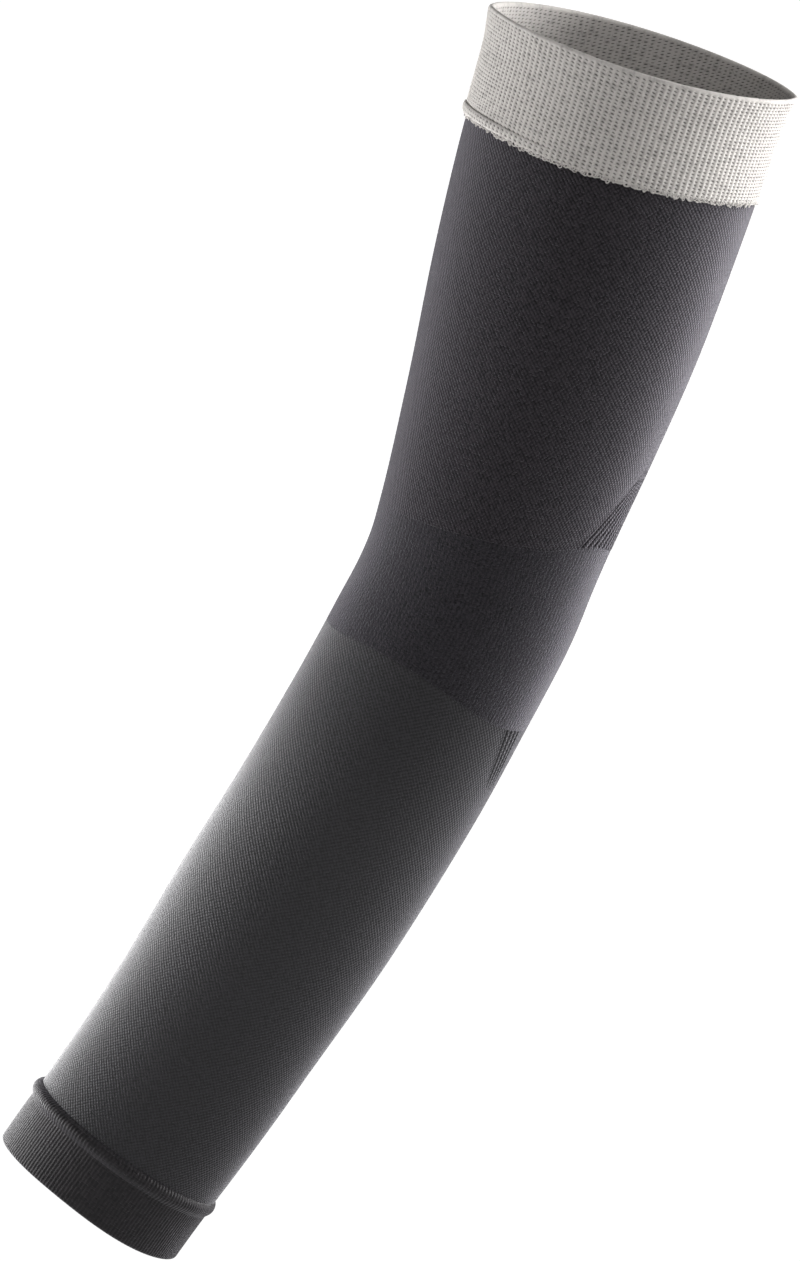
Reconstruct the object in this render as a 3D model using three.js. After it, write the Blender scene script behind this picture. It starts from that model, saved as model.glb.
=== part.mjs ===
// Knitted arm compression sleeve in the form of a slightly bent arm.
// Millimetres and degrees. The origin is the middle of the arm opening, +Z points up out of it,
// the forearm bends towards -X, so the back of the elbow faces +X.
import * as THREE from 'three';

const { clamp, degToRad, smoothstep } = THREE.MathUtils;

// Lengths along the middle line of the sleeve, from the arm opening down to the wrist
const upperArmLength = 162.5;
const elbowLength = 55.5;
const forearmLength = 188.5;
const cuffHeight = 24;
const bandHeight = 35.7;

// Widths across the dark knit, seen from the front
const openingWidth = 101.6;
const elbowWidth = 74.8;
const forearmWidth = 75.3;
const wristWidth = 69.9;

// Walls and how the pieces meet
const knitWall = 1;
const elbowRecess = 0.15;
const cuffWall = 2;
const cuffProud = 0.25;
const bandLayer = 0.8;
const bandLap = 6;
const clearance = 0.3;

// Hem of the band, thick on the inner side of the arm. hemCrest: where it is thickest, a share of its
// height. hemShoulder: its share of the thickness at both creases. hemEnd, hemFull: how far towards
// the inner side it begins and is whole, as shares of the half width.
const hemHeight = 4.8;
const hemProud = 0.9;
const hemCrease = 0.5;
const hemCrest = 0.45;
const hemShoulder = 0.7;
const hemEnd = 0.25;
const hemFull = 0.9;

// Rolled welt at the top of the cuff. weltRoll: down its height, how much of it stands proud.
const weltHeight = 5.6;
const weltProudInside = 2;
const weltProudBack = 1.5;
const weltRoll = [
  { down: 0, rise: 0 },
  { down: 0.09, rise: 0.4 },
  { down: 0.2, rise: 0.75 },
  { down: 0.34, rise: 0.95 },
  { down: 0.5, rise: 1 },
  { down: 0.65, rise: 0.86 },
  { down: 0.82, rise: 0.48 },
  { down: 1, rise: 0 },
];

// Knitted ribs that fan out over the back of the elbow, counted on one side of its middle. Angles in
// degrees from it, reach along the sleeve. ribFade: share of the reach from which the grooves fade out.
const ribDepth = 0.4;
const ribFade = 0.5;
const upperRibs = { reach: 30, first: 2.5, pitch: 5, count: 8, closing: 0.8, edge: 'bottom' };
const lowerRibs = { reach: 26, first: 22, pitch: 4, count: 4, closing: 0.35, edge: 'top' };

// Facets
const roundStep = 10;
const rowPitch = 12;
const innerRowPitch = 18;
const elbowRowPitch = 7;
const ribRowPitch = 6;
const edgeSteps = 3;

const elbowStart = upperArmLength;
const forearmStart = elbowStart + elbowLength;
const cuffStart = forearmStart + forearmLength;
const sleeveLength = cuffStart + cuffHeight;
const bandProud = clearance + bandLayer;

const upperArmAt = (share) => share * upperArmLength;
const elbowAt = (share) => elbowStart + share * elbowLength;
const forearmAt = (share) => forearmStart + share * forearmLength;

// Sections of the dark knit's outer face. along: place on the middle line. lean: how far that line
// leans from upright. tilt: how far the section dips towards the back of the elbow. width: across the
// front. depth: share of the width. pinch: 1 is an ellipse, more draws the two sides to an edge.
const sections = [
  { along: 0, lean: 0.6, tilt: 0, width: 1.008 * openingWidth, depth: 0.85, pinch: 1.3 },
  { along: 0.35 * bandHeight, lean: 0.7, tilt: 0, width: 0.977 * openingWidth, depth: 0.85, pinch: 1.26 },
  { along: bandHeight, lean: 0.6, tilt: -0.1, width: 0.965 * openingWidth, depth: 0.85, pinch: 1.18 },
  { along: upperArmAt(0.5), lean: 0, tilt: -0.3, width: 0.917 * openingWidth, depth: 0.85, pinch: 1.08 },
  { along: upperArmAt(0.78), lean: 1.8, tilt: -2, width: 0.83 * openingWidth, depth: 0.845, pinch: 1.02 },
  { along: elbowStart, lean: 3.2, tilt: -3.6, width: 1.032 * elbowWidth, depth: 0.84, pinch: 1 },
  { along: elbowAt(0.32), lean: 5, tilt: 1.3, width: elbowWidth, depth: 0.84, pinch: 1 },
  { along: elbowAt(0.72), lean: 11.6, tilt: 8.4, width: elbowWidth, depth: 0.83, pinch: 1 },
  { along: forearmStart, lean: 11.5, tilt: 12.8, width: elbowWidth, depth: 0.82, pinch: 1 },
  { along: forearmAt(0.2), lean: 13.6, tilt: 14.2, width: forearmWidth, depth: 0.8, pinch: 1 },
  { along: forearmAt(0.45), lean: 15.9, tilt: 15.5, width: forearmWidth, depth: 0.77, pinch: 1 },
  { along: forearmAt(0.75), lean: 16.7, tilt: 17.4, width: 1.027 * wristWidth, depth: 0.7, pinch: 1 },
  { along: cuffStart, lean: 19.6, tilt: 19.8, width: 1.003 * wristWidth, depth: 0.65, pinch: 1 },
  { along: sleeveLength, lean: 18, tilt: 19.2, width: wristWidth, depth: 0.64, pinch: 1 },
];

// Where the seams leave their section plane. shift: how far down the sleeve the seam runs there.
// middle and half: the angles from the back of the elbow over which it comes and goes.
const seams = [
  { along: 0, shift: -0.028 * bandHeight, middle: 150, half: 100 },
  { along: bandHeight, shift: 0, middle: 180, half: 90 },
  { along: elbowStart, shift: -0.05 * elbowLength, middle: 35, half: 35 },
  { along: forearmStart, shift: -0.09 * elbowLength, middle: 105, half: 70 },
  { along: cuffStart, shift: 0, middle: 60, half: 60 },
  { along: sleeveLength, shift: 0.04 * cuffHeight, middle: 60, half: 60 },
];

// A smooth curve through one column of the table, without overshoot between two rows
function column(key) {
  const x = sections.map((row) => row.along);
  const y = sections.map((row) => row[key]);
  const rise = x.slice(1).map((end, i) => (y[i + 1] - y[i]) / (end - x[i]));
  const slope = y.map((_, i) => {
    if (i === 0) return rise[0];
    if (i === rise.length) return rise[i - 1];
    if (rise[i - 1] * rise[i] <= 0) return 0;
    return 2 * rise[i - 1] * rise[i] / (rise[i - 1] + rise[i]);
  });
  return (along) => {
    const next = x.findIndex((start) => start > along);
    const i = next < 0 ? rise.length - 1 : Math.max(next, 1) - 1;
    const span = x[i + 1] - x[i];
    const t = (along - x[i]) / span;
    const blend = t * t * (3 - 2 * t);
    return y[i] * (1 - blend) + y[i + 1] * blend
      + span * t * (1 - t) * (slope[i] * (1 - t) - slope[i + 1] * t);
  };
}

const leanAt = column('lean');
const tiltAt = column('tilt');
const widthAt = column('width');
const depthAt = column('depth');
const pinchAt = column('pinch');

// Middle line: its direction at the table's lean, added up from the arm opening in short steps
const middleSteps = 430;
const middleStep = sleeveLength / middleSteps;
const middle = [new THREE.Vector3(0, 0, 0)];
for (let i = 0; i < middleSteps; i++) {
  const lean = degToRad(leanAt((i + 0.5) * middleStep));
  const step = new THREE.Vector3(-Math.sin(lean), 0, -Math.cos(lean)).multiplyScalar(middleStep);
  middle.push(middle[i].clone().add(step));
}

function middleAt(along) {
  const i = clamp(Math.floor(along / middleStep), 0, middleSteps - 1);
  return middle[i].clone().lerp(middle[i + 1], along / middleStep - i);
}

// Signed angle from the back of the elbow
function fromBack(angle) {
  return angle > 180 ? angle - 360 : angle;
}

// Shift of one seam at an angle, a raised cosine round its middle
function shiftOf(seam, angle) {
  const away = Math.min(Math.abs(Math.abs(fromBack(angle)) - seam.middle) / seam.half, 1);
  return seam.shift * (1 + Math.cos(Math.PI * away)) / 2;
}

// Between two seams the shift changes evenly from one to the next
function seamShift(along, angle) {
  const next = clamp(seams.findIndex((seam) => seam.along > along), 1, seams.length - 1);
  const i = along >= sleeveLength ? seams.length - 1 : next;
  const [above, below] = [seams[i - 1], seams[i]];
  const share = clamp((along - above.along) / (below.along - above.along), 0, 1);
  return shiftOf(above, angle) * (1 - share) + shiftOf(below, angle) * share;
}

// A point on the sleeve: angle 0 is the back of the elbow, 90 the far side, 180 its inner side.
// offset is how far it lies outside the dark knit's outer face.
function sleevePoint(nominal, angle, offset) {
  const along = nominal + seamShift(nominal, angle);
  const turn = degToRad(angle);
  const tilt = degToRad(tiltAt(along));
  const width = widthAt(along);
  const across = (width / 2 + offset) * Math.cos(turn);
  const side = Math.sign(Math.sin(turn)) * Math.pow(Math.abs(Math.sin(turn)), pinchAt(along));
  const away = (width * depthAt(along) / 2 + offset) * side;
  const point = middleAt(along);
  return point.add(new THREE.Vector3(across * Math.cos(tilt), away, -across * Math.sin(tilt)));
}

// Carries a closed wall profile round the sleeve. profile(angle) gives its points in order: down the
// outer face, up the inner one. bend(along, angle) moves the columns of points sideways.
function wall(profile, angles, bend = (along, angle) => angle) {
  const loops = angles.map((angle) => profile(angle));
  const columns = angles.length;
  const rows = loops[0].length;
  const positions = [];
  for (let row = 0; row < rows; row++) {
    loops.forEach((loop, i) => {
      const { along, offset } = loop[row];
      positions.push(...sleevePoint(along, bend(along, angles[i]), offset).toArray());
    });
  }
  const index = [];
  for (let row = 0; row < rows; row++) {
    const below = (row + 1) % rows;
    for (let i = 0; i < columns; i++) {
      const j = (i + 1) % columns;
      const [a, b] = [row * columns + i, below * columns + i];
      const [c, d] = [row * columns + j, below * columns + j];
      index.push(a, b, c, b, d, c);
    }
  }
  const geometry = new THREE.BufferGeometry();
  geometry.setAttribute('position', new THREE.Float32BufferAttribute(positions, 3));
  geometry.setIndex(index);
  geometry.computeVertexNormals();
  return geometry;
}

// Places from start to end, about a pitch apart, without the two ends
function between(start, end, pitch) {
  const count = Math.max(1, Math.round(Math.abs(end - start) / pitch));
  return Array.from({ length: count - 1 }, (_, i) => start + (end - start) * (i + 1) / count);
}

// How much of the hem an angle has: all of it at the middle of the arm's inner side, none on the back
function hemShare(angle) {
  return smoothstep(-Math.cos(degToRad(angle)), hemEnd, hemFull);
}

const evenAngles = Array.from({ length: 360 / roundStep }, (_, i) => i * roundStep);

// Even angles, with a column on each groove and crest of the ribs
function ribbedAngles(ribs) {
  const half = ribs.pitch / 2;
  const low = ribs.first - half;
  const high = ribs.first + (ribs.count - 0.5) * ribs.pitch;
  const fine = Array.from({ length: 2 * ribs.count + 1 }, (_, i) => low + i * half);
  const mirrored = fine.map((angle) => (360 - angle) % 360);
  const plain = evenAngles.filter((angle) => {
    const away = Math.abs(fromBack(angle));
    return away < low - half || away > high + half;
  });
  return [...new Set([...plain, ...fine, ...mirrored])].sort((a, b) => a - b);
}

// Share of the way from the ribs' wide edge to where they have closed up
function ribShare(ribs, along) {
  const start = ribs.edge === 'bottom' ? elbowStart - along : along - forearmStart;
  return clamp(start / ribs.reach, 0, 1);
}

// Columns draw together towards the back as the ribs close up, and spread out on the other side
function fan(ribs) {
  const wide = ribs.first + (ribs.count - 0.5) * ribs.pitch;
  return (along, angle) => {
    const narrow = wide * (1 - ribs.closing * ribShare(ribs, along));
    const away = Math.abs(fromBack(angle));
    const moved = away < wide
      ? away * narrow / wide
      : narrow + (away - wide) * (180 - narrow) / (180 - wide);
    return Math.sign(fromBack(angle)) * moved;
  };
}

// Depth of the grooves between the ribs, fading out where the fan closes
function grooveAt(ribs, along, angle) {
  const steps = (Math.abs(fromBack(angle)) - ribs.first) / ribs.pitch;
  if (steps < -0.5 || steps > ribs.count - 0.5) return 0;
  const fade = 1 - smoothstep(ribShare(ribs, along), ribFade, 1);
  return ribDepth * fade * (1 - 2 * Math.abs(steps - Math.round(steps)));
}

// Light band round the arm opening: two layers with a folded rim. The outer layer laps over the dark
// knit and swells into the hem, the inner one stops above it.
function bandProfile(angle) {
  const hem = hemProud * hemShare(angle);
  const thick = knitWall + bandProud;
  const fold = thick / 2;
  const hemTop = bandHeight - hemHeight;
  const shoulder = bandHeight - bandLap;
  const points = [];
  for (let i = 0; i <= 2 * edgeSteps; i++) {
    const turn = Math.PI * i / (2 * edgeSteps);
    points.push({ along: fold * (1 - Math.sin(turn)), offset: bandProud - fold * (1 + Math.cos(turn)) });
  }
  between(fold, hemTop, rowPitch).forEach((along) => points.push({ along, offset: bandProud }));
  points.push({ along: hemTop, offset: bandProud });
  points.push({ along: hemTop + hemCrease, offset: bandProud + hemShoulder * hem });
  points.push({ along: hemTop + hemCrest * hemHeight, offset: bandProud + hem });
  points.push({ along: bandHeight - hemCrease, offset: bandProud + hemShoulder * hem });
  points.push({ along: bandHeight, offset: clearance + bandLayer / 2 });
  points.push({ along: bandHeight - hemCrease, offset: clearance });
  points.push({ along: shoulder, offset: clearance });
  points.push({ along: shoulder, offset: -knitWall });
  between(shoulder, fold, innerRowPitch).forEach((along) => points.push({ along, offset: -knitWall }));
  return points;
}

// A plain tube of knit. rows are the places of its outer face's rows, and dent its depth there.
function tubeProfile(rows, innerPitch, dent) {
  const start = rows[0];
  const end = rows[rows.length - 1];
  return (angle) => [
    ...rows.map((along) => ({ along, offset: -dent(along, angle) })),
    { along: end, offset: -knitWall },
    ...between(end, start, innerPitch).map((along) => ({ along, offset: -knitWall })),
    { along: start, offset: -knitWall },
  ];
}

function upperArmGeometry() {
  const start = bandHeight - bandLap + clearance;
  const ribsTop = elbowStart - upperRibs.reach;
  const end = elbowStart - clearance / 2;
  const rows = [
    start, ...between(start, ribsTop, rowPitch),
    ribsTop, ...between(ribsTop, end, ribRowPitch), end,
  ];
  const dent = (along, angle) => grooveAt(upperRibs, along, angle);
  return wall(tubeProfile(rows, innerRowPitch, dent), ribbedAngles(upperRibs), fan(upperRibs));
}

function elbowGeometry() {
  const start = elbowStart + clearance / 2;
  const end = forearmStart - clearance / 2;
  const rows = [start, ...between(start, end, elbowRowPitch), end];
  return wall(tubeProfile(rows, elbowRowPitch, () => elbowRecess), evenAngles);
}

function forearmGeometry() {
  const start = forearmStart + clearance / 2;
  const ribsEnd = forearmStart + lowerRibs.reach;
  const end = cuffStart - clearance / 2;
  const rows = [
    start, ...between(start, ribsEnd, ribRowPitch),
    ribsEnd, ...between(ribsEnd, end, rowPitch), end,
  ];
  const dent = (along, angle) => grooveAt(lowerRibs, along, angle);
  return wall(tubeProfile(rows, innerRowPitch, dent), ribbedAngles(lowerRibs), fan(lowerRibs));
}

// Double cuff: a rolled welt under the seam, a plain outer face and a folded lower edge
function cuffProfile(angle) {
  const inside = (1 - Math.cos(degToRad(angle))) / 2;
  const proud = weltProudBack + (weltProudInside - weltProudBack) * inside;
  const start = cuffStart + clearance / 2;
  const fold = cuffWall / 2;
  const points = weltRoll.map(({ down, rise }) => (
    { along: start + down * weltHeight, offset: down * cuffProud + rise * (proud - cuffProud) }
  ));
  const plainStart = start + weltHeight;
  const plainEnd = sleeveLength - fold;
  between(plainStart, plainEnd, rowPitch / 2).forEach((along) => points.push({ along, offset: cuffProud }));
  for (let i = 0; i <= 2 * edgeSteps; i++) {
    const turn = Math.PI * i / (2 * edgeSteps);
    points.push({ along: plainEnd + fold * Math.sin(turn), offset: cuffProud - fold * (1 - Math.cos(turn)) });
  }
  const inner = cuffProud - cuffWall;
  between(plainEnd, start, rowPitch).forEach((along) => points.push({ along, offset: inner }));
  points.push({ along: start, offset: inner });
  return points;
}

function piece(name, geometry, color, roughness) {
  const material = new THREE.MeshStandardMaterial({ color, roughness, metalness: 0 });
  const mesh = new THREE.Mesh(geometry, material);
  mesh.name = name;
  return mesh;
}

const sleeve = new THREE.Group();
sleeve.add(piece('upper_band', wall(bandProfile, evenAngles), 0xb4afaa, 0.9));
sleeve.add(piece('upper_arm_knit', upperArmGeometry(), 0x35323a, 0.85));
sleeve.add(piece('elbow_zone', elbowGeometry(), 0x2f2e33, 0.9));
sleeve.add(piece('forearm_knit', forearmGeometry(), 0x35343b, 0.85));
sleeve.add(piece('wrist_cuff', wall(cuffProfile, evenAngles), 0x2c2a2d, 0.9));

export default sleeve;
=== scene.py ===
# Looks of the knitted arm sleeve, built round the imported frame.
# Shapes are worked out in millimetres on numpy grids and put into meshes in metres.
import math

import bpy
import numpy as np
from mathutils import Matrix, Vector


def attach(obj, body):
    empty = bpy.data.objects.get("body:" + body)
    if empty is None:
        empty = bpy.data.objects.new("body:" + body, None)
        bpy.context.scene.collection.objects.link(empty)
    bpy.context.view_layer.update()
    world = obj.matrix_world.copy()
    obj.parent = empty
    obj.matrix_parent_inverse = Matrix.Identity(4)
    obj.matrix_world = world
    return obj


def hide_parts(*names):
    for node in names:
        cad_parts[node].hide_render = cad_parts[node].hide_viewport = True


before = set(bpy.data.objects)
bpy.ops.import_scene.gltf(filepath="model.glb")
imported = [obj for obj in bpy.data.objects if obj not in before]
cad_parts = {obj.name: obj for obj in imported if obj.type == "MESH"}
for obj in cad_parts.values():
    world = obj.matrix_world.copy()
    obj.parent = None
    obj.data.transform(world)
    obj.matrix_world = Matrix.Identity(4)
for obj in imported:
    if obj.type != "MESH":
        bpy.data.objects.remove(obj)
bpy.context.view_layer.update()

millimetre = 0.001
rng = np.random.default_rng(7)
print("frame loaded:", sorted(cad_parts))

# Form of the sleeve

# Driving sizes in millimetres, the same as the frame's
size = {
    "upperArmLength": 162.5,
    "elbowLength": 55.5,
    "forearmLength": 188.5,
    "cuffHeight": 24.0,
    "bandHeight": 35.7,
    "openingWidth": 101.6,
    "elbowWidth": 74.8,
    "forearmWidth": 75.3,
    "wristWidth": 69.9,
    "knitWall": 1.0,
    "clearance": 0.3,
}

elbowStart = size["upperArmLength"]
forearmStart = elbowStart + size["elbowLength"]
cuffStart = forearmStart + size["forearmLength"]
sleeveLength = cuffStart + size["cuffHeight"]


def upperArmAt(share):
    return share * size["upperArmLength"]


def elbowAt(share):
    return elbowStart + share * size["elbowLength"]


def forearmAt(share):
    return forearmStart + share * size["forearmLength"]


# Sections of the dark knit's outer face. lean: how far the middle line leans from upright, tilt: how far the
# section dips towards the back of the elbow, both in degrees. depth: share of the width. pinch: 1 is an
# ellipse, and more draws the near and far sides in.
sectionKeys = ("along", "lean", "tilt", "width", "depth", "pinch")
sections = [
    (0.0, 0.6, 0.0, 1.008 * size["openingWidth"], 0.85, 1.3),
    (0.35 * size["bandHeight"], 0.7, 0.0, 0.977 * size["openingWidth"], 0.85, 1.26),
    (size["bandHeight"], 0.6, -0.1, 0.965 * size["openingWidth"], 0.85, 1.18),
    (upperArmAt(0.5), 0.0, -0.3, 0.917 * size["openingWidth"], 0.85, 1.08),
    (upperArmAt(0.78), 1.8, -2.0, 0.83 * size["openingWidth"], 0.845, 1.02),
    (elbowStart, 3.2, -3.6, 1.032 * size["elbowWidth"], 0.84, 1.0),
    (elbowAt(0.32), 5.0, 1.3, size["elbowWidth"], 0.84, 1.0),
    (elbowAt(0.72), 11.6, 8.4, size["elbowWidth"], 0.83, 1.0),
    (forearmStart, 11.5, 12.8, size["elbowWidth"], 0.82, 1.0),
    (forearmAt(0.2), 13.6, 14.2, size["forearmWidth"], 0.8, 1.0),
    (forearmAt(0.45), 15.9, 15.5, size["forearmWidth"], 0.77, 1.0),
    (forearmAt(0.75), 16.7, 17.4, 1.027 * size["wristWidth"], 0.7, 1.0),
    (cuffStart, 19.6, 19.8, 1.003 * size["wristWidth"], 0.65, 1.0),
    (sleeveLength, 18.0, 19.2, size["wristWidth"], 0.64, 1.0),
]

# Where the seams leave their section plane. shift: how far down the sleeve the seam runs there, middle and
# half: the angles from the back of the elbow over which it comes and goes.
seamKeys = ("along", "shift", "middle", "half")
seams = [
    (0.0, -0.028 * size["bandHeight"], 150.0, 100.0),
    (size["bandHeight"], 0.0, 180.0, 90.0),
    (elbowStart, -0.05 * size["elbowLength"], 35.0, 35.0),
    (forearmStart, -0.09 * size["elbowLength"], 105.0, 70.0),
    (cuffStart, 0.0, 60.0, 60.0),
    (sleeveLength, 0.04 * size["cuffHeight"], 60.0, 60.0),
]


def tableColumns(keys, rows):
    return dict(zip(keys, np.array(rows).T))


section = tableColumns(sectionKeys, sections)
seam = tableColumns(seamKeys, seams)


def sectionCurve(key):
    # Cubic through one column: between two rows a smooth step from one value to the next, plus the share of
    # the two slopes. A row's slope is the harmonic mean of the rises beside it, or 0 at a turning point.
    x, y = section["along"], section[key]
    span = np.diff(x)
    rise = np.diff(y) / span
    product = rise[:-1] * rise[1:]
    total = np.where(product > 0, rise[:-1] + rise[1:], 1.0)
    slope = np.concatenate([rise[:1], np.where(product > 0, 2 * product / total, 0.0), rise[-1:]])

    def at(along):
        i = np.clip(np.searchsorted(x, along, side="right") - 1, 0, len(span) - 1)
        t = (along - x[i]) / span[i]
        blend = t * t * (3 - 2 * t)
        bend = span[i] * t * (1 - t) * (slope[i] * (1 - t) - slope[i + 1] * t)
        return y[i] * (1 - blend) + y[i + 1] * blend + bend

    return at


leanAt, tiltAt, widthAt, depthAt, pinchAt = [sectionCurve(key) for key in sectionKeys[1:]]

# Middle line: its direction at the table's lean, added up from the arm opening in short steps
middleSteps = 430
middleStep = sleeveLength / middleSteps
middleLean = np.radians(leanAt((np.arange(middleSteps) + 0.5) * middleStep))
middleRun = np.stack([-np.sin(middleLean), 0 * middleLean, -np.cos(middleLean)], axis=1) * middleStep
middleLine = np.concatenate([np.zeros((1, 3)), np.cumsum(middleRun, axis=0)])


def middleAt(along):
    place = along / middleStep
    i = np.clip(np.floor(place).astype(int), 0, middleSteps - 1)
    return middleLine[i] + (middleLine[i + 1] - middleLine[i]) * (place - i)[..., None]


def fromBack(angle):
    # Angle from the back of the elbow, 0 to 180 on both sides
    return np.abs((angle + 180) % 360 - 180)


def seamShift(nominal, angle):
    # Each seam's shift is a raised cosine round its middle; between two seams it changes evenly
    total = 0
    for i in range(len(seams)):
        away = np.minimum(np.abs(fromBack(angle) - seam["middle"][i]) / seam["half"][i], 1)
        near = np.interp(nominal, seam["along"], np.eye(len(seams))[i])
        total = total + near * seam["shift"][i] * (1 + np.cos(np.pi * away)) / 2
    return total


def sleevePoint(nominal, angle, offset):
    # Point of the sleeve: angle 0 is the back of the elbow, 90 the far side, 180 the inner side of the arm.
    # across = (width / 2 + offset) cos(angle), away = (depth / 2 + offset) |sin(angle)| ^ pinch, signed.
    # Both are laid on the section plane, which dips by the tilt round the middle line's point.
    nominal, angle, offset = np.broadcast_arrays(nominal, angle, offset)
    along = nominal + seamShift(nominal, angle)
    turn, tilt = np.radians(angle), np.radians(tiltAt(along))
    width = widthAt(along)
    across = (width / 2 + offset) * np.cos(turn)
    side = np.sign(np.sin(turn)) * np.abs(np.sin(turn)) ** pinchAt(along)
    away = (width * depthAt(along) / 2 + offset) * side
    return middleAt(along) + np.stack([across * np.cos(tilt), away, -across * np.sin(tilt)], axis=-1)


def smoothStep(value, low, high):
    t = np.clip((value - low) / (high - low), 0, 1)
    return t * t * (3 - 2 * t)


def spread(start, end, pitch):
    # Even places from start to end, about a pitch apart, both ends included
    return np.linspace(start, end, max(2, int(round(abs(end - start) / pitch)) + 1))


# Meshes

def gridMesh(name, points, wales, courses):
    # points: rows x columns x 3 in millimetres, closed round the columns and from the last row to the first.
    # wales and courses count the stitches up to each point, for the UV map. wales has one more row and column
    # than the points, or is spread to that, and courses has one more value than there are rows.
    rows, columns = points.shape[:2]
    count = rows * columns
    i, j = np.meshgrid(np.arange(rows), np.arange(columns), indexing="ij")
    nextI, nextJ = (i + 1) % rows, (j + 1) % columns
    corners = [(i, j), (nextI, j), (nextI, nextJ), (i, nextJ)]
    faces = np.stack([row * columns + column for row, column in corners], axis=-1)
    wales = np.broadcast_to(wales, (rows + 1, columns + 1))
    u = np.stack([wales[i, j], wales[i + 1, j], wales[i + 1, j + 1], wales[i, j + 1]], axis=-1)
    v = np.stack([courses[i], courses[i + 1], courses[i + 1], courses[i]], axis=-1)
    mesh = bpy.data.meshes.new(name)
    mesh.vertices.add(count)
    mesh.vertices.foreach_set("co", (points * millimetre).astype(np.float32).ravel())
    mesh.loops.add(count * 4)
    mesh.loops.foreach_set("vertex_index", faces.astype(np.int32).ravel())
    mesh.polygons.add(count)
    mesh.polygons.foreach_set("loop_start", np.arange(0, count * 4, 4, dtype=np.int32))
    mesh.polygons.foreach_set("use_smooth", np.ones(count, dtype=bool))
    knit = mesh.uv_layers.new(name="knit")
    knit.data.foreach_set("uv", np.stack([u, v], axis=-1).astype(np.float32).ravel())
    mesh.update()
    mesh.validate()
    piece = bpy.data.objects.new(name, mesh)
    bpy.context.collection.objects.link(piece)
    return piece


def seat(piece, slot, *nodes):
    # The whole sleeve is one body, so every piece rides on the root
    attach(piece, "root")
    if nodes:
        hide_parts(*nodes)
    return piece


# Camera

# Aim, distance and angles worked out so that the sleeve's rim, seams and wrist fall where the photo has them
view = {
    "aim": (-22.858, 0.0, -206.38),
    "distance": 3200.0,
    "elevation": 12.9,
    "roll": 16.4,
    "frameHeight": 412.49,  # millimetres across the frame's height at the aim
    "sensor": 36.0,
}


def makeCamera():
    # Local X, Y and Z: level right and up turned by the roll, and the way back from the aim
    lift, roll = math.radians(view["elevation"]), math.radians(view["roll"])
    right = Vector((1, 0, 0))
    up = Vector((0, math.sin(lift), math.cos(lift)))
    back = Vector((0, -math.cos(lift), math.sin(lift)))
    across = right * math.cos(roll) + up * math.sin(roll)
    upright = up * math.cos(roll) - right * math.sin(roll)
    data = bpy.data.cameras.new("camera")
    data.sensor_fit = "AUTO"
    data.sensor_width = view["sensor"]
    data.lens = view["sensor"] * view["distance"] / view["frameHeight"]
    data.clip_start = 0.1
    data.clip_end = 200
    camera = bpy.data.objects.new("camera", data)
    place = Vector(view["aim"]) + back * view["distance"]
    turn = Matrix((across, upright, back)).transposed()
    camera.matrix_world = Matrix.Translation(place * millimetre) @ turn.to_4x4()
    bpy.context.collection.objects.link(camera)
    bpy.context.scene.camera = camera


makeCamera()
print("camera placed")

# Shader helper


class Yarn:
    # Wraps a shader socket, so that plain expressions on it add Math nodes

    def __init__(self, tree, socket=None):
        self.tree = tree
        self.socket = socket

    def plug(self, target, value):
        if isinstance(value, Yarn):
            self.tree.links.new(value.socket, target)
        else:
            target.default_value = value

    def node(self, kind, settings=None, inputs=None, output=0):
        # Any node: its type, its settings, then the values or links of its sockets by name or identifier
        made = self.tree.nodes.new("ShaderNode" + kind)
        for key, value in (settings or {}).items():
            setattr(made, key, value)
        for key, value in (inputs or {}).items():
            exact = [s for s in made.inputs if s.identifier == key]
            named = [s for s in made.inputs if s.name == key]
            self.plug((exact + named)[0], value)
        if isinstance(output, str):
            output = [s.identifier for s in made.outputs].index(output)
        return Yarn(self.tree, made.outputs[output] if made.outputs else None)

    def math(self, operation, *values, clamp=False):
        made = self.tree.nodes.new("ShaderNodeMath")
        made.operation = operation
        made.use_clamp = clamp
        for target, value in zip(made.inputs, values):
            self.plug(target, value)
        return Yarn(self.tree, made.outputs[0])

    def __add__(self, other):
        return self.math("ADD", self, other)

    def __radd__(self, other):
        return self.math("ADD", other, self)

    def __sub__(self, other):
        return self.math("SUBTRACT", self, other)

    def __rsub__(self, other):
        return self.math("SUBTRACT", other, self)

    def __mul__(self, other):
        return self.math("MULTIPLY", self, other)

    def __rmul__(self, other):
        return self.math("MULTIPLY", other, self)

    def wave(self):
        # Cosine of as many turns as the value counts
        return self.math("COSINE", self * (2 * math.pi))

    def part(self):
        return self.math("FRACT", self)

    def whole(self):
        return self.math("FLOOR", self)

    def clamped(self):
        return self.math("ADD", self, 0.0, clamp=True)

    def beside(self, output):
        # Another output of the node that this one comes from
        return Yarn(self.tree, self.socket.node.outputs[output])

    def step(self, low, high):
        # 0 below low, 1 above high, smooth between them
        settings = {"interpolation_type": "SMOOTHSTEP"}
        return self.node("MapRange", settings, {"Value": self, "From Min": low, "From Max": high})


def startMaterial(name):
    material = bpy.data.materials.new(name)
    material.use_nodes = True
    material.node_tree.nodes.clear()
    return material, Yarn(material.node_tree)


def colorMix(yarn, factor, low, high):
    inputs = {"Factor_Float": factor, "A_Color": low, "B_Color": high}
    return yarn.node("Mix", {"data_type": "RGBA"}, inputs, "Result_Color")


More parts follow.
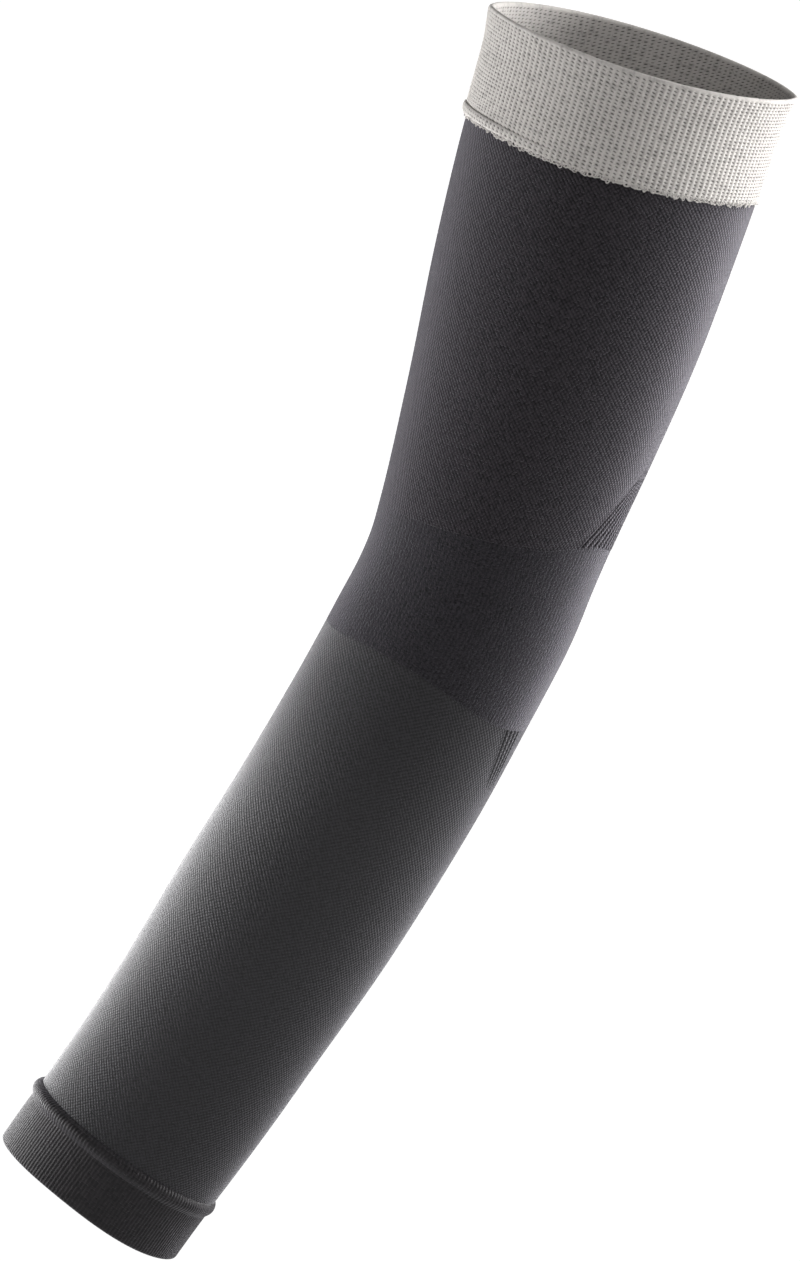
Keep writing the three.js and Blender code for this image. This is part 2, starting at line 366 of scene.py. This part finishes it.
def finishCloth(yarn, color, roughness, height, bumpDistance, cloth):
    # The cloth's own constants go straight on the shader's sockets
    bump = {"Height": height, "Strength": cloth["bumpStrength"], "Distance": bumpDistance}
    inputs = {
        "Base Color": color,
        "Roughness": roughness,
        "Specular IOR Level": cloth["specular"],
        "Sheen Weight": cloth["sheen"],
        "Sheen Roughness": cloth["sheenRoughness"],
        "Sheen Tint": cloth["sheenTint"],
        "Normal": yarn.node("Bump", None, bump),
    }
    shader = yarn.node("BsdfPrincipled", None, inputs)
    yarn.node("OutputMaterial", None, {"Surface": shader})


def stitchCounts(yarn):
    # Count of wales round the sleeve and of courses down it, from the piece's own UV map
    uv = yarn.node("UVMap", {"uv_map": "knit"})
    wale = yarn.node("SeparateXYZ", None, {"Vector": uv})
    return wale, wale.beside("Y")


def speckle(yarn, scale, detail):
    # Noise of about one speckle to each 1 / scale metres, spread evenly round a half
    place = yarn.node("TexCoord", None, None, "Object")
    return yarn.node("TexNoise", None, {"Vector": place, "Scale": scale, "Detail": detail})


def perStitch(yarn, wale, course):
    # One random number from 0 to 1 for each stitch
    corner = yarn.node("CombineXYZ", None, {"X": wale.whole(), "Y": course.whole()})
    return yarn.node("TexWhiteNoise", {"noise_dimensions": "2D"}, {"Vector": corner})


# Light comfort band

band = {
    "layer": 0.8,
    "lap": 6.0,
    "hemHeight": 3.2,
    "hemProud": 0.8,
    "hemLift": 1.0,
    "liftStart": 9.0,
    "liftFull": 3.5,
    "hemCrease": 0.26,
    "hemFoot": 0.35,
    "hemShoulder": 0.7,
    "hemEnd": 0.25,
    "hemFull": 0.9,
    "wales": 150,
    "coursePitch": 1.14,
    "stepsPerWale": 5,
    "stepsPerCourse": 3,
    "cordRelief": 0.09,
    "holeDepth": 0.34,
    "holeWide": 0.2,
    "holeSlant": -0.7,
    "creaseDepth": 0.3,
    "ragged": 0.3,
    "raggedLow": 0.6,
    "foldSteps": 8,
    "innerPitch": 1.4,
}
bandProud = size["clearance"] + band["layer"]
# Crease above the hem: (place from the hem's top in crease widths, rise in crease depths)
creaseRoll = [(-0.7, -0.15), (-0.35, -0.8), (0.0, -1.0), (0.25, -0.4)]
# Roll of the hem: (share of its height, share of how far it stands proud)
hemRoll = [(0.3, 0.92), (0.45, 1.0), (0.62, 0.97), (0.8, 0.86)]


def hemShare(angle):
    return smoothStep(-np.cos(np.radians(angle)), band["hemEnd"], band["hemFull"])


def hemLift(place, angle):
    # The hem and the edge below it sit a little higher where the hem is full
    start, full = size["bandHeight"] - band["liftStart"], size["bandHeight"] - band["liftFull"]
    return band["hemLift"] * hemShare(angle) * smoothStep(place, start, full)


def bandRelief(wale, course):
    # Cords stand between columns of holes: a cosine of the wale count, less a slanted dent at each half wale
    # and half course
    cord = band["cordRelief"] * np.cos(2 * np.pi * wale)
    slanted = wale + band["holeSlant"] * ((course % 1) - 0.5)
    acrossHole = np.exp(-(((slanted % 1) - 0.5) / band["holeWide"]) ** 2)
    downHole = 0.5 - 0.5 * np.cos(2 * np.pi * course)
    return cord - band["holeDepth"] * acrossHole * downHole


def bandRows():
    # Profile of the folded band, down the outer face and up the inner one, as rows of (place, offset, rise,
    # kind). rise: share of how far the hem stands proud. kind: 1 carries the relief, 0 is plain.
    thick = size["knitWall"] + bandProud
    fold = thick / 2
    hemTop = size["bandHeight"] - band["hemHeight"]
    turn = np.pi * np.arange(band["foldSteps"] + 1) / band["foldSteps"]
    rows = [(fold * (1 - math.sin(t)), bandProud - fold * (1 + math.cos(t)), 0.0, 0.0) for t in turn[:-1]]
    pitch = band["coursePitch"] / band["stepsPerCourse"]
    rows += [(place, bandProud, 0.0, 1.0) for place in spread(fold, hemTop - band["hemCrease"], pitch)]
    crease = band["creaseDepth"] / band["hemProud"]
    hem = [(hemTop + near * band["hemCrease"], rise * crease) for near, rise in creaseRoll]
    hem += [
        (hemTop + 0.5 * band["hemCrease"], band["hemFoot"]),
        (hemTop + band["hemCrease"], band["hemShoulder"]),
    ]
    hem += [(hemTop + down * band["hemHeight"], rise) for down, rise in hemRoll]
    hem += [
        (size["bandHeight"] - band["hemCrease"], band["hemShoulder"]),
        (size["bandHeight"] - 0.4 * band["hemCrease"], band["hemFoot"]),
    ]
    rows += [(place, bandProud, share, 1.0) for place, share in hem]
    shoulder = size["bandHeight"] - band["lap"]
    rows += [
        (size["bandHeight"], size["clearance"] + band["layer"] / 2, 0.0, 0.0),
        (size["bandHeight"] - band["hemCrease"], size["clearance"], 0.0, 0.0),
        (shoulder, size["clearance"], 0.0, 0.0),
    ]
    inner = spread(shoulder, fold, band["innerPitch"])[:-1]
    rows += [(place, -size["knitWall"], 0.0, 0.0) for place in inner]
    return np.array(rows)


def makeBand():
    # Grid over the profile and the angle: offset = profile + rise x how proud the hem is + relief.
    # Stitches are counted from below the folded rim, which stays plain.
    rows = bandRows()
    columns = band["wales"] * band["stepsPerWale"]
    angle = np.arange(columns) * 360 / columns
    place, offset, hem, knitted = [rows[:, k][:, None] for k in range(4)]
    wale = np.arange(columns + 1) / band["stepsPerWale"]
    course = np.maximum(place - rows[0, 0], 0) / band["coursePitch"]
    relief = knitted * bandRelief(wale[:-1], course)
    full = offset + hem * band["hemProud"] * hemShare(angle) + relief
    nearEdge = smoothStep(place, size["bandHeight"] - 2 * band["ragged"], size["bandHeight"])
    frayed = place + band["ragged"] * nearEdge * rng.uniform(-1, band["raggedLow"], columns)
    frayed = frayed - hemLift(place, angle)
    courses = np.append(course[:, 0], course[0, 0])
    piece = gridMesh("band_knit_tube", sleevePoint(frayed, angle, full), wale, courses)
    return seat(piece, "band_knit", "upper_band")


bandTube = makeBand()
print("band:", len(bandTube.data.polygons), "faces")

# Ragged thread loops along the band's lower edge, in rows of (how many, shortest and longest reach below the
# edge, narrowest and widest half width as a share of the pitch, how far they stand off the dark knit)
loopRows = [
    (150, 0.35, 1.05, 0.32, 0.5, 0.5),
    (190, 0.1, 0.8, 0.25, 0.5, 0.75),
    (110, 0.5, 1.5, 0.15, 0.35, 0.3),
]
loops = {
    "radius": 0.22,
    "thinnest": 0.8,
    "thickest": 1.15,
    "sides": 5,
    "steps": 12,
    "sink": 0.8,
    "stray": 0.35,
    "sag": 0.5,
    "lift": 0.25,
}


def ringTubes(name, path, outward, radius):
    # path: loops x steps x 3 in millimetres, each closed on itself. A ring of the thread's radius is carried
    # along it: point + radius x (cos(turn) outward + sin(turn) across), across standing on path and outward.
    count, steps = path.shape[:2]
    along = np.roll(path, -1, axis=1) - np.roll(path, 1, axis=1)
    along /= np.linalg.norm(along, axis=-1, keepdims=True)
    outward = outward - along * np.sum(outward * along, axis=-1, keepdims=True)
    outward /= np.linalg.norm(outward, axis=-1, keepdims=True)
    across = np.cross(along, outward)
    turn = 2 * np.pi * np.arange(loops["sides"])[:, None] / loops["sides"]
    ring = np.cos(turn) * outward[:, :, None] + np.sin(turn) * across[:, :, None]
    points = path[:, :, None] + radius[:, None, None, None] * ring
    counts = (np.arange(count), np.arange(steps), np.arange(loops["sides"]))
    loop, step, side = np.meshgrid(*counts, indexing="ij")
    start = loop * steps * loops["sides"]
    row, nextRow = step * loops["sides"], (step + 1) % steps * loops["sides"]
    nextSide = (side + 1) % loops["sides"]
    corners = [row + side, nextRow + side, nextRow + nextSide, row + nextSide]
    faces = np.stack([start + corner for corner in corners], axis=-1).reshape(-1, 4)
    mesh = bpy.data.meshes.new(name)
    mesh.from_pydata((points * millimetre).reshape(-1, 3), [], faces.tolist())
    mesh.polygons.foreach_set("use_smooth", np.ones(len(faces), dtype=bool))
    mesh.update()
    piece = bpy.data.objects.new(name, mesh)
    bpy.context.collection.objects.link(piece)
    return piece


def makeLoops():
    # Each loop hangs from the lower edge: place = edge - sink + (reach + sink) (1 + sin(turn)) / 2,
    # angle = middle + half width cos(turn), and it lifts off the knit by its own share towards its low point
    paths, outwards, thicknesses = [], [], []
    turn = 2 * np.pi * np.arange(loops["steps"]) / loops["steps"]
    for count, short, long, narrow, wide, proud in loopRows:
        pitch = 360 / count
        middle = (np.arange(count) + rng.uniform(-1, 1, count) * loops["stray"])[:, None] * pitch
        reach = rng.uniform(short, long, count)[:, None]
        half = rng.uniform(narrow, wide, count)[:, None] * pitch
        slant = rng.uniform(-1, 1, count)[:, None] * loops["stray"] * pitch
        lift = rng.uniform(0, 1, count)[:, None] * loops["lift"]
        down = (1 + np.sin(turn)) / 2
        place = size["bandHeight"] - loops["sink"] + (reach + loops["sink"]) * down
        angle = middle + half * np.cos(turn) + slant * down
        place = place - hemLift(place, angle)
        offset = size["clearance"] + proud * (1 - loops["sag"] * down) + lift * down
        points = sleevePoint(place, angle, offset)
        paths.append(points)
        outwards.append(sleevePoint(place, angle, offset + 1) - points)
        thicknesses.append(loops["radius"] * rng.uniform(loops["thinnest"], loops["thickest"], count))
    path, outward, radius = [np.concatenate(parts) for parts in (paths, outwards, thicknesses)]
    piece = ringTubes("band_edge_loops", path, outward, radius)
    return seat(piece, "band_knit")


bandLoops = makeLoops()
print("loops:", len(bandLoops.data.polygons), "faces")

# Dark knit

knit = {
    "gap": 0.03,
    "edge": 0.04,
    "ribDepth": 0.34,
    "ribRise": 0.14,
    "ribSharpness": 7.0,
    "ribFade": 0.5,
    "ribEdgeOut": 0.6,
    "ribEdgeIn": 0.4,
    "rowPitch": 1.6,
    "ribRowPitch": 0.8,
    "innerPitch": 5.0,
    "fineStep": 0.5,
    "coarseStep": 1.5,
}
# Ribs fan out over the back of the elbow. reach: along the sleeve, first and pitch: degrees from the back's
# middle, closing: how much of their width the fan loses over its reach, edge: the zone's edge they start from
upperRibs = {"reach": 40.0, "first": 2.25, "pitch": 4.5, "count": 10, "closing": 0.85, "edge": "bottom"}
lowerRibs = {"reach": 26.0, "first": 22.0, "pitch": 4.0, "count": 4, "closing": 0.35, "edge": "top"}
# Where each dark zone starts and ends down the sleeve
upperArm = (size["bandHeight"] - band["lap"] + size["clearance"], elbowStart - knit["gap"])
elbow = (elbowStart + knit["gap"], forearmStart - knit["gap"])
forearm = (forearmStart + knit["gap"], cuffStart - knit["gap"])
# Dark zones in (piece, slot, span, stitches round it, millimetres from one course to the next, ribs, degrees
# either side of the back that get fine columns), by the node they replace
darkZones = {
    "upper_arm_knit": ("upper_arm_tube", "upper_arm_knit", upperArm, 384, 0.8, upperRibs, 48),
    "elbow_zone": ("elbow_tube", "elbow_knit", elbow, 156, 0.95, None, 30),
    "forearm_knit": ("forearm_tube", "forearm_knit", forearm, 310, 0.71, lowerRibs, 42),
}


def knitAngles(fineHalf):
    # Fine columns over the back of the elbow, coarser ones round the rest
    fine = spread(-fineHalf, fineHalf, knit["fineStep"])
    return np.concatenate([fine, spread(fineHalf, 360 - fineHalf, knit["coarseStep"])[1:-1]])


def ribShare(ribs, along):
    start = elbowStart - along if ribs["edge"] == "bottom" else along - forearmStart
    return np.clip(start / ribs["reach"], 0, 1)


def ribsHalf(ribs):
    return ribs["first"] + (ribs["count"] - 0.5) * ribs["pitch"]


def fanShift(ribs, along, angle):
    # How far the columns draw together towards the back as the ribs close up, and spread on the other side
    wide = ribsHalf(ribs)
    narrow = wide * (1 - ribs["closing"] * ribShare(ribs, along))
    away = fromBack(angle)
    beyond = narrow + (away - wide) * (180 - narrow) / (180 - wide)
    moved = np.where(away < wide, away * narrow / wide, beyond)
    return np.sign((angle + 180) % 360 - 180) * (moved - away)


def groove(ribs, along, angle):
    # Raised cords with narrow grooves between them: a power of |cosine| of the rib count, which fades as they
    # close up
    steps = (fromBack(angle) - ribs["first"]) / ribs["pitch"]
    out, into = knit["ribEdgeOut"], knit["ribEdgeIn"]
    ends = smoothStep(steps, ribs["count"] - out, ribs["count"] - into)
    inside = smoothStep(steps, -out, -into) * (1 - ends)
    share = ribShare(ribs, along)
    fade = (1 - ribs["closing"] * share) * (1 - smoothStep(share, knit["ribFade"], 1))
    between = np.abs(np.cos(np.pi * steps)) ** knit["ribSharpness"]
    return fade * inside * ((knit["ribDepth"] + knit["ribRise"]) * between - knit["ribRise"])


def knitTube(name, span, wales, pitch, ribs, fineHalf):
    # Outer face down the sleeve, then the inner face up again
    start, end = span
    rowPitch = knit["ribRowPitch"] if ribs else knit["rowPitch"]
    outer = spread(start + knit["edge"], end - knit["edge"], rowPitch)
    outer = np.concatenate([[start], outer, [end]])
    inner = spread(end, start, knit["innerPitch"])
    place = np.concatenate([outer, inner])[:, None]
    shown = np.arange(len(place))[:, None] < len(outer)
    angle = knitAngles(fineHalf)[None, :] + 0 * place
    offset = np.where(shown, 0.0, -size["knitWall"])
    if ribs:
        offset = offset - shown * groove(ribs, place, angle)
        angle = angle + fanShift(ribs, place, angle)
    columns = np.concatenate([angle, angle[:, :1] + 360], axis=1) * wales / 360
    columns = np.concatenate([columns, columns[:1]])
    courses = np.append(place[:, 0], start) / pitch
    return gridMesh(name, sleevePoint(place, angle, offset), columns, courses)


def makeZone(node, name, slot, *shape):
    return seat(knitTube(name, *shape), slot, node)


upperArmTube, elbowTube, forearmTube = [makeZone(node, *zone) for node, zone in darkZones.items()]
print("dark knit:", [len(tube.data.polygons) for tube in (upperArmTube, elbowTube, forearmTube)], "faces")

# Wrist cuff

cuff = {
    "wall": 2.0,
    "proud": 0.25,
    "weltHeight": 5.6,
    "weltProudInside": 2.0,
    "weltProudBack": 1.5,
    "ribs": 168,
    "stepsPerRib": 6,
    "ribRelief": 0.045,
    "rowPitch": 0.9,
    "weltRows": 16,
    "foldSteps": 8,
    "innerPitch": 3.0,
    "coursePitch": 0.75,
}
# Roll of the welt: down its height, how much of it stands proud
weltRoll = [(0, 0), (0.09, 0.4), (0.2, 0.75), (0.34, 0.95), (0.5, 1), (0.65, 0.86), (0.82, 0.48), (1, 0)]


def makeCuff():
    # Welt, plain face, folded edge and inner face; the fine ribs are a cosine of the rib count on the outside
    start = cuffStart + knit["gap"]
    fold = cuff["wall"] / 2
    down = np.linspace(0, 1, cuff["weltRows"] + 1)
    rollDown, rollRise = np.array(weltRoll).T
    rise = np.interp(down, rollDown, rollRise)
    plainStart, plainEnd = start + cuff["weltHeight"], sleeveLength - fold
    plain = spread(plainStart, plainEnd, cuff["rowPitch"])[1:-1]
    turn = np.pi * np.arange(cuff["foldSteps"] + 1) / cuff["foldSteps"]
    inner = spread(plainEnd, start, cuff["innerPitch"])[1:]
    place = np.concatenate([start + down * cuff["weltHeight"], plain, plainEnd + fold * np.sin(turn), inner])
    flat = np.concatenate([
        down * cuff["proud"],
        np.full(len(plain), cuff["proud"]),
        cuff["proud"] - fold * (1 - np.cos(turn)),
        np.full(len(inner), cuff["proud"] - cuff["wall"]),
    ])
    welt = np.concatenate([rise, np.zeros(len(place) - len(rise))])
    shown = np.arange(len(place)) < len(down) + len(plain) + cuff["foldSteps"] // 2
    columns = cuff["ribs"] * cuff["stepsPerRib"]
    angle = np.arange(columns) * 360 / columns
    inside = (1 - np.cos(np.radians(angle))) / 2
    proud = cuff["weltProudBack"] + (cuff["weltProudInside"] - cuff["weltProudBack"]) * inside
    rib = np.arange(columns + 1) / cuff["stepsPerRib"]
    relief = shown[:, None] * cuff["ribRelief"] * (np.cos(2 * np.pi * rib[:-1]) - 1)
    offset = flat[:, None] + welt[:, None] * (proud - cuff["proud"]) + relief
    courses = np.append(place, place[0]) / cuff["coursePitch"]
    piece = gridMesh("cuff_tube", sleevePoint(place[:, None], angle, offset), rib, courses)
    return seat(piece, "cuff_knit", "wrist_cuff")


cuffTube = makeCuff()
print("cuff:", len(cuffTube.data.polygons), "faces")

# Materials

bandCloth = {
    "thread": (0.5, 0.475, 0.453, 1),
    # Colour of the holes: painted shade, standing for the shadow that falls inside them
    "shadedHole": (0.08, 0.075, 0.07, 1),
    "roughness": 0.85,
    "specular": 0.2,
    "sheen": 0.1,
    "sheenRoughness": 0.5,
    "sheenTint": (1, 1, 1, 1),
    "bumpStrength": 0.6,
    "bump": 0.0002,
    "slant": -0.9,
    "tie": 0.16,
    "holeLow": 0.45,
    "holeHigh": 0.95,
    "uneven": 0.38,
    "fuzz": 0.9,
    "fuzzScale": 1100.0,
}


def bandMaterial():
    # Uneven, fuzzy threads with a slanted hole at each half wale and half course. The holes get painted
    # shade, a dark colour standing for the shadow inside them.
    # tie: how much of a hole is left between two courses.
    cloth = bandCloth
    material, yarn = startMaterial("band_knit")
    wale, course = stitchCounts(yarn)
    slanted = wale + (course.part() - 0.5) * cloth["slant"]
    across = 0.5 - 0.5 * slanted.wave()
    down = (1 + cloth["tie"]) / 2 - (1 - cloth["tie"]) / 2 * course.wave()
    shadedHole = (across * down).step(cloth["holeLow"], cloth["holeHigh"])
    uneven = (perStitch(yarn, wale, course) - 0.5) * cloth["uneven"]
    fuzz = (speckle(yarn, cloth["fuzzScale"], 2.0) - 0.5) * cloth["fuzz"]
    # shade: the holes' painted shade plus the yarn's own uneven tone and fuzz; the same value also sets the
    # bump
    shade = (shadedHole + uneven + fuzz).clamped()
    color = colorMix(yarn, shade, cloth["thread"], cloth["shadedHole"])
    finishCloth(yarn, color, cloth["roughness"], 0.0 - shade, cloth["bump"], cloth)
    return material


# Dark cloths. falling and rising: how strongly the two diagonals of the stitches show, wale and course: how
# strongly its lines along and round the sleeve show. uneven: from stitch to stitch, grain: fine fibres,
# cloudy: soft patches. drift: how far a stitch strays from its place, as a share of a wale. roughStart: the
# roughness at the top, if another. It changes to the cloth's own between the share settling of course
# settled and there.
darkCloth = {
    "roughness": 0.4,
    "specular": 0.0,
    "sheen": 0.5,
    "sheenRoughness": 0.5,
    "sheenTint": (0.94, 0.91, 1.0, 1),
    "bumpStrength": 1.0,
    "bump": 0.0002,
    "grainScale": 1000.0,
    "driftScale": 420.0,
    "cloudScale": 45.0,
}
upperArmCloth = darkCloth | {
    "low": (0.002, 0.0018, 0.002, 1),
    "high": (0.034, 0.03, 0.034, 1),
    "falling": 0.26,
    "rising": 0.14,
    "wale": 0.0,
    "course": 0.0,
    "uneven": 0.4,
    "grain": 0.9,
    "cloudy": 0.1,
    "drift": 0.25,
}
elbowCloth = darkCloth | {
    "low": (0.002, 0.0018, 0.002, 1),
    "high": (0.028, 0.026, 0.03, 1),
    "falling": 0.04,
    "rising": 0.04,
    "wale": 0.12,
    "course": 0.03,
    "uneven": 0.15,
    "grain": 2.0,
    "cloudy": 0.1,
    "drift": 0.35,
    "sheen": 0.48,
    "grainScale": 1900.0,
}
forearmCloth = darkCloth | {
    "low": (0.001, 0.001, 0.001, 1),
    "high": (0.0145, 0.0137, 0.0158, 1),
    "falling": 0.3,
    "rising": 0.3,
    "wale": 0.0,
    "course": 0.0,
    "uneven": 0.4,
    "grain": 1.2,
    "cloudy": 0.1,
    "drift": 0.25,
    "sheen": 0.27,
    "specular": 0.16,
    "roughStart": 0.66,
    "settling": 0.75,
    "settled": 420.0,
    "bump": 0.00014,
}
cuffCloth = darkCloth | {
    "low": (0.001, 0.0009, 0.001, 1),
    "high": (0.016, 0.0137, 0.015, 1),
    "falling": 0.02,
    "rising": 0.02,
    "wale": 0.16,
    "course": 0.02,
    "uneven": 0.5,
    "grain": 0.9,
    "cloudy": 0.1,
    "drift": 0.25,
    "sheen": 0.2,
    "specular": 0.12,
    "bump": 0.00014,
}


def darkMaterial(name, cloth):
    material, yarn = startMaterial(name)
    wale, course = stitchCounts(yarn)
    stray = speckle(yarn, cloth["driftScale"], 1.0) - 0.5
    wale = wale + stray * (2 * cloth["drift"])
    falling = ((wale - course) * 0.5).wave() * cloth["falling"]
    rising = ((wale + course) * 0.5).wave() * cloth["rising"]
    lines = wale.wave() * cloth["wale"] + course.wave() * cloth["course"]
    uneven = (perStitch(yarn, wale, course) - 0.5) * cloth["uneven"]
    grain = (speckle(yarn, cloth["grainScale"], 2.0) - 0.5) * cloth["grain"]
    cloud = (speckle(yarn, cloth["cloudScale"], 2.0) - 0.5) * cloth["cloudy"]
    shade = (0.5 + falling + rising + lines + uneven + grain + cloud).clamped()
    color = colorMix(yarn, shade, cloth["low"], cloth["high"])
    roughness = cloth["roughness"]
    if "roughStart" in cloth:
        smoothed = course.step(cloth["settling"] * cloth["settled"], cloth["settled"])
        roughness = cloth["roughStart"] + smoothed * (roughness - cloth["roughStart"])
    finishCloth(yarn, color, roughness, shade, cloth["bump"], cloth)
    return material


bandCoat = bandMaterial()
bandTube.data.materials.append(bandCoat)
bandLoops.data.materials.append(bandCoat)
darkCloths = [
    (upperArmTube, "upper_arm_knit", upperArmCloth),
    (elbowTube, "elbow_knit", elbowCloth),
    (forearmTube, "forearm_knit", forearmCloth),
    (cuffTube, "cuff_knit", cuffCloth),
]
for tube, name, cloth in darkCloths:
    tube.data.materials.append(darkMaterial(name, cloth))
print("materials made")

# Studio

studio = {
    "floorHeight": -1.3,
    "floorHalf": 60.0,
    "floorColor": (0.3, 0.3, 0.3, 1),
    "floorGlow": 1.05,
    "boxSize": 0.46,
}
# Square softboxes in (name, degrees round the sleeve, metres away, height, height it aims at, power): a low
# row on the left and behind, a higher one on the right and behind, and two soft ones in front
softboxes = [
    ("left_back", -140.0, 0.6, -0.44, -0.32, 3.4),
    ("left_rear", -115.0, 0.6, -0.42, -0.3, 3.2),
    ("left_side", -90.0, 0.6, -0.42, -0.32, 3.0),
    ("left_front", -70.0, 0.45, -0.3, -0.28, 1.9),
    ("right_side", 90.0, 0.7, -0.16, -0.12, 6.5),
    ("right_rear", 125.0, 0.7, 0.1, -0.1, 7.5),
    ("right_high", 122.0, 0.75, 0.28, -0.1, 7.5),
    ("top_front", 15.0, 0.3, 0.6, -0.05, 2.5),
    ("front_fill", 20.0, 0.6, -0.25, -0.12, 1.1),
]


def makeFloor():
    # Pale floor that glows white in the picture but throws no diffuse light on the sleeve
    half = studio["floorHalf"]
    mesh = bpy.data.meshes.new("floor")
    plan = [(-half, -half), (half, -half), (half, half), (-half, half)]
    mesh.from_pydata([(x, y, studio["floorHeight"]) for x, y in plan], [], [(0, 1, 2, 3)])
    floor = bpy.data.objects.new("floor", mesh)
    bpy.context.collection.objects.link(floor)
    material, yarn = startMaterial("floor")
    white = {"Color": (1, 1, 1, 1), "Strength": studio["floorGlow"]}
    glow = yarn.node("Emission", None, white)
    matt = yarn.node("BsdfDiffuse", None, {"Color": studio["floorColor"]})
    shader = yarn.node("AddShader", None, {"Shader": glow, "Shader_001": matt})
    yarn.node("OutputMaterial", None, {"Surface": shader})
    mesh.materials.append(material)
    floor.visible_diffuse = False


def makeLights():
    # Azimuth 0 stands in front of the sleeve, 90 on its right, 180 behind it
    for name, azimuth, distance, height, aimHeight, power in softboxes:
        data = bpy.data.lights.new(name, "AREA")
        data.shape = "SQUARE"
        data.size = studio["boxSize"]
        data.energy = power
        turn = math.radians(azimuth)
        aim = Vector((view["aim"][0] * millimetre, 0, aimHeight))
        place = Vector((aim.x + math.sin(turn) * distance, -math.cos(turn) * distance, height))
        lamp = bpy.data.objects.new(name, data)
        facing = (place - aim).to_track_quat("Z", "Y").to_matrix().to_4x4()
        lamp.matrix_world = Matrix.Translation(place) @ facing
        lamp.visible_camera = False
        bpy.context.collection.objects.link(lamp)


def makeWorld():
    # White backdrop that throws no light on the sleeve either
    world = bpy.data.worlds.new("studio")
    world.use_nodes = True
    background = world.node_tree.nodes["Background"]
    background.inputs["Color"].default_value = (1, 1, 1, 1)
    background.inputs["Strength"].default_value = 1.0
    world.cycles_visibility.diffuse = False
    world.cycles_visibility.glossy = False
    bpy.context.scene.world = world
    bpy.context.scene.view_settings.view_transform = "Standard"


makeFloor()
makeLights()
makeWorld()
print("studio lit")
